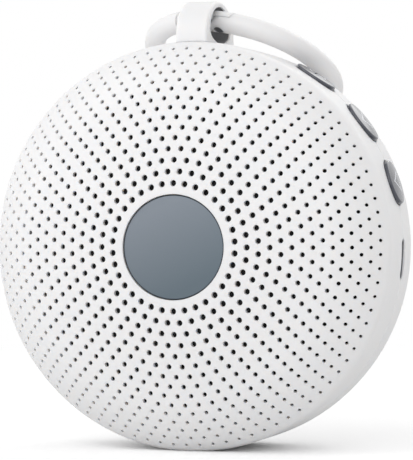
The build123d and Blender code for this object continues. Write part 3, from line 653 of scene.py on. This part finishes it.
print("ring of a hole:", len(perforate.nodes), "nodes")

# %% [markdown]
# The number less the holes inside the ring is the hole's place in the ring, and that place
# over the holes of the ring is its turn round the axis. Counted from 0, rings with an even
# number start at the top and the others at the right. At the top, the bottom and both sides
# that puts each hole between two of the next ring.

# %% Angle of each hole
QUARTER_TURN = 0.25

mean_count = add(perforate, "ShaderNodeMath", {"operation": "MULTIPLY_ADD"}, i0=half_added,
                 i1=ring, i2=base)
before_ring = add(perforate, "ShaderNodeMath", {"operation": "MULTIPLY"}, i0=mean_count, i1=ring)
place_in_ring = add(perforate, "ShaderNodeMath", {"operation": "SUBTRACT"}, i0=number,
                    i1=before_ring)
ring_holes = add(perforate, "ShaderNodeMath", {"operation": "MULTIPLY_ADD"},
                 i0=given["Holes added"], i1=ring, i2=given["First ring holes"])
turn = add(perforate, "ShaderNodeMath", {"operation": "DIVIDE"}, i0=place_in_ring, i1=ring_holes)
odd_ring = add(perforate, "ShaderNodeMath", {"operation": "MODULO"}, i0=ring, i1=2.0)
less_start = add(perforate, "ShaderNodeMath", {"operation": "MULTIPLY_ADD"}, i0=odd_ring,
                 i1=-QUARTER_TURN, i2=turn)
started = add(perforate, "ShaderNodeMath", {"operation": "ADD"}, i0=less_start, i1=QUARTER_TURN)
hole_angle = add(perforate, "ShaderNodeMath", {"operation": "MULTIPLY"}, i0=started, i1=2 * pi)
print("and its angle:", len(perforate.nodes), "nodes")

# %% [markdown]
# Each step from ring to ring is shorter than the last by the pitch loss. Added up, ring r is
# r * (pitch - loss / 2 * (r - 1)) further out than the first. The number of all holes is
# the mean of the first and last ring's, times the rings.

# %% Radius of each ring and number of holes
ring_inside = add(perforate, "ShaderNodeMath", {"operation": "SUBTRACT"}, i0=ring, i1=1.0)
half_loss = add(perforate, "ShaderNodeMath", {"operation": "MULTIPLY"}, i0=given["Pitch loss"],
                i1=-0.5)
mean_pitch = add(perforate, "ShaderNodeMath", {"operation": "MULTIPLY_ADD"}, i0=ring_inside,
                 i1=half_loss, i2=given["Ring pitch"])
ring_radius = add(perforate, "ShaderNodeMath", {"operation": "MULTIPLY_ADD"}, i0=mean_pitch,
                  i1=ring, i2=given["First ring radius"])
last_ring = add(perforate, "ShaderNodeMath", {"operation": "SUBTRACT"}, i0=given["Rings"], i1=1.0)
all_mean_count = add(perforate, "ShaderNodeMath", {"operation": "MULTIPLY_ADD"}, i0=half_added,
                     i1=last_ring, i2=given["First ring holes"])
hole_count = add(perforate, "ShaderNodeMath", {"operation": "MULTIPLY"}, i0=all_mean_count,
                 i1=given["Rings"])
print("and its radius:", len(perforate.nodes), "nodes")

# %% [markdown]
# Where a hole meets the dome follows from the wall's three arcs, but a ray is simpler: it
# starts in front of the dome, at the hole's angle and radius, and goes straight back to the
# blank. From its mouth a hole goes straight in, or leans towards the axis where its ring
# is one of the slanted ones.

# %% Mouth and direction of each hole
RAY_START = -100 * MM
RAY_LENGTH = 1000 * MM

away_x = add(perforate, "ShaderNodeMath", {"operation": "COSINE"}, i0=hole_angle)
away_z = add(perforate, "ShaderNodeMath", {"operation": "SINE"}, i0=hole_angle)
away = add(perforate, "ShaderNodeCombineXYZ", X=away_x, Z=away_z)
axis_foot = add(perforate, "ShaderNodeCombineXYZ", Y=RAY_START, Z=given["Axis height"])
ray_start = add(perforate, "ShaderNodeVectorMath", {"operation": "MULTIPLY_ADD"}, i0=away,
                i1=ring_radius, i2=axis_foot)
mouth = add(perforate, "GeometryNodeRaycast", Target_Geometry=given["Blank"],
            Source_Position=ray_start, Ray_Direction=(0, 1, 0), Ray_Length=RAY_LENGTH)
outer_ring = add(perforate, "ShaderNodeMath", {"operation": "GREATER_THAN"}, i0=ring_safe,
                 i1=given["Straight rings"])
lean = add(perforate, "ShaderNodeMath", {"operation": "MULTIPLY"}, i0=outer_ring,
           i1=given["Slant"])
lean_in = add(perforate, "ShaderNodeMath", {"operation": "SINE"}, i0=lean)
to_axis = add(perforate, "ShaderNodeMath", {"operation": "MULTIPLY"}, i0=lean_in, i1=-1.0)
lean_back = add(perforate, "ShaderNodeMath", {"operation": "COSINE"}, i0=lean)
back = add(perforate, "ShaderNodeCombineXYZ", Y=lean_back)
drill_way = add(perforate, "ShaderNodeVectorMath", {"operation": "MULTIPLY_ADD"}, i0=away,
                i1=to_axis, i2=back)
print("and its direction:", len(perforate.nodes), "nodes")

# %% [markdown]
# A drill is a cylinder with few sides, which still looks round at this size. One stands on
# every mouth. A third of its length is outside, so its middle is a sixth of its length
# inside. One difference takes all the drills and the rim's openings out of the blank. The
# manifold solver does that in a second, as all of the meshes are closed.

# %% Drills and the cut
LENGTHS_PAST_MOUTH = 1 / 6

past_mouth = add(perforate, "ShaderNodeMath", {"operation": "MULTIPLY"},
                 i0=given["Drill length"], i1=LENGTHS_PAST_MOUTH)
drill_middle = add(perforate, "ShaderNodeVectorMath", {"operation": "MULTIPLY_ADD"},
                   i0=drill_way, i1=past_mouth, i2=mouth.outputs["Hit Position"])
spots = add(perforate, "GeometryNodePoints", Count=hole_count, Position=drill_middle)
hole_width = add(perforate, "ShaderNodeMapRange", Value=ring, From_Max=last_ring,
                 To_Min=given["First hole"], To_Max=given["Last hole"])
hole_half = add(perforate, "ShaderNodeMath", {"operation": "MULTIPLY"}, i0=hole_width, i1=0.5)
drill_size = add(perforate, "ShaderNodeCombineXYZ", X=hole_half, Y=hole_half,
                 Z=given["Drill length"])
drill_turn = add(perforate, "FunctionNodeAlignRotationToVector", {"axis": "Z"}, Vector=drill_way)
drill = add(perforate, "GeometryNodeMeshCylinder", Vertices=given["Drill sides"], Radius=1.0,
            Depth=1.0)
drills = add(perforate, "GeometryNodeInstanceOnPoints", Points=spots, Instance=drill,
             Rotation=drill_turn, Scale=drill_size)
real_drills = add(perforate, "GeometryNodeRealizeInstances", Geometry=drills)
opening_info = add(perforate, "GeometryNodeObjectInfo", Object=given["Openings"])
cut = add(perforate, "GeometryNodeMeshBoolean", {"operation": "DIFFERENCE", "solver": "MANIFOLD"},
          Mesh_1=given["Blank"], Mesh_2=real_drills)
fill(cut, Mesh_2=opening_info.outputs["Geometry"])
solid = add(perforate, "GeometryNodeRealizeInstances", Geometry=cut)
finished = add(perforate, "GeometryNodeSetMaterial", Geometry=solid, Material=given["Finish"])
add(perforate, "NodeGroupOutput", Shell=finished)
print("whole tree:", len(perforate.nodes), "nodes")

# %% [markdown]
# The tree runs once on the blank. Its result is kept as a plain mesh, because the exported
# model has no modifiers. Sharp edges stay crisp, and the rest is smooth.

# %% Run the tree
SHARP_ANGLE = radians(30)


def run_tree(piece, tree, sockets, values):
    """Gives the piece the mesh that the tree makes of it."""
    modifier = piece.modifiers.new(tree.name, "NODES")
    modifier.node_group = tree
    for label, socket in sockets.items():
        if values[label] is not None:
            modifier[socket.identifier] = values[label]
    bpy.context.view_layer.update()
    evaluated = piece.evaluated_get(bpy.context.evaluated_depsgraph_get())
    mesh = bpy.data.meshes.new_from_object(evaluated)
    piece.modifiers.clear()
    piece.data = mesh
    mesh.polygons.foreach_set("use_smooth", [True] * len(mesh.polygons))
    mesh.set_sharp_from_angle(angle=SHARP_ANGLE)


run_tree(front_blank, perforate, hole_sockets, hole_values)
bpy.data.objects.remove(rim_openings)
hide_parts("front_shell")
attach(front_blank, "body")
print("front shell:", len(front_blank.data.polygons), "faces")

# %% [markdown]
# ## Floor
# The floor is pale studio paper, and as that it throws light back on the underside of the
# rim. It should also melt into a white background, and still hold the soft shadow that makes
# the disc stand. Stronger lamps would do the first, but bleach the disc too. So the camera
# alone sees another finish. Near the disc it is a diffuse white of slightly over one, which
# makes up for the lamps and lets the shadow fall on it. Further off it blends into an even
# glow of strength one, the white of the background, so no horizon shows.

# %% Floor
FLOOR_REACH = 6000 * MM
MOTTLE_SCALE = 3.0   # three faint patches to a metre
NEAR_WHITE = 1.14
GLOW_START, GLOW_FULL = 140 * MM, 420 * MM   # from the foot of the disc

plane = bmesh.new()
bmesh.ops.create_grid(plane, x_segments=1, y_segments=1, size=FLOOR_REACH)
floor = as_object("floor", plane)
floor_finish, tree, shader = new_material("Pale studio floor")
place = add(tree, "ShaderNodeTexCoord").outputs["Object"]
mottle = add(tree, "ShaderNodeTexNoise", Vector=place, Scale=MOTTLE_SCALE)
tint = add(tree, "ShaderNodeMix", {"data_type": "RGBA"}, Factor=mottle, A=linear("#E8E8E8"),
           B=linear("#ECECEC"))
fill(shader, Base_Color=tint, Roughness=0.9, Specular_IOR_Level=0.1)
near_white = add(tree, "ShaderNodeBsdfDiffuse", Color=(NEAR_WHITE, NEAR_WHITE, NEAR_WHITE, 1))
far_white = add(tree, "ShaderNodeEmission")
off_foot = add(tree, "ShaderNodeVectorMath", {"operation": "LENGTH"}, i0=place)
far = add(tree, "ShaderNodeMapRange", {"interpolation_type": "SMOOTHSTEP"}, Value=off_foot,
          From_Min=GLOW_START, From_Max=GLOW_FULL)
seen = add(tree, "ShaderNodeMixShader", i0=far, i1=near_white, i2=far_white)
rays = add(tree, "ShaderNodeLightPath").outputs
either = add(tree, "ShaderNodeMixShader", i0=rays["Is Camera Ray"], i1=shader, i2=seen)
fill(tree.nodes["Material Output"], Surface=either)
floor.data.materials.append(floor_finish)
print("floor:", floor_finish.name)

# %% [markdown]
# ## World
# A white product on white is lit from all around, so the world gives most of the light. Rays
# that reach it from the camera, a mirror or a clear piece see pure white. All others find
# it about two thirds as bright, which leaves room for the lamps to model the shapes.

# %% World
WORLD_LEVEL = 0.68

world = bpy.data.worlds.new("studio")
scene.world = world
world.use_nodes = True
tree = world.node_tree
tree.nodes.clear()
rays = add(tree, "ShaderNodeLightPath").outputs
direct = add(tree, "ShaderNodeMath", {"operation": "MAXIMUM"}, i0=rays["Is Camera Ray"],
             i1=rays["Is Transmission Ray"])
seen = add(tree, "ShaderNodeMath", {"operation": "MAXIMUM"}, i0=direct, i1=rays["Is Glossy Ray"])
level = add(tree, "ShaderNodeMix", {"data_type": "FLOAT"}, Factor=seen, A=WORLD_LEVEL, B=1.0)
sky = add(tree, "ShaderNodeBackground", Color=(1, 1, 1, 1), Strength=level)
add(tree, "ShaderNodeOutputWorld", Surface=sky)
print("world level:", WORLD_LEVEL)

# %% [markdown]
# ## Lamps
# Four soft boxes do the modelling. The front one lights the dome. The two on the left, one
# high and one low, let the shoulder and the rim on the right fall off softly. The one at
# the back keeps the other side from going grey when the object is seen from behind. Each
# is more than half as wide as it is far away, because a small lamp throws hard shadows.

# %% Lamps
LAMP_DISTANCE = 1300 * MM


def soft_light(name, direction, size, power):
    """A square soft box that looks at the middle of the object from this direction."""
    lamp = bpy.data.lights.new(name, "AREA")
    lamp.size = size
    lamp.energy = power
    light = bpy.data.objects.new(name, lamp)
    scene.collection.objects.link(light)
    away = Vector(direction).normalized()
    light.location = Vector((0, 0, AXIS_HEIGHT)) + away * LAMP_DISTANCE
    light.rotation_euler = away.to_track_quat("Z", "Y").to_euler()


soft_light("front light", (0.1, -1.0, 0.45), size=1100 * MM, power=4.1)
soft_light("high left light", (-0.8, -0.7, 1.0), size=800 * MM, power=2.2)
soft_light("low left light", (-1.0, -0.7, 0.15), size=700 * MM, power=2.0)
soft_light("back light", (0.4, 1.0, 0.9), size=1000 * MM, power=3.0)
print("lamps:", len(bpy.data.lights))
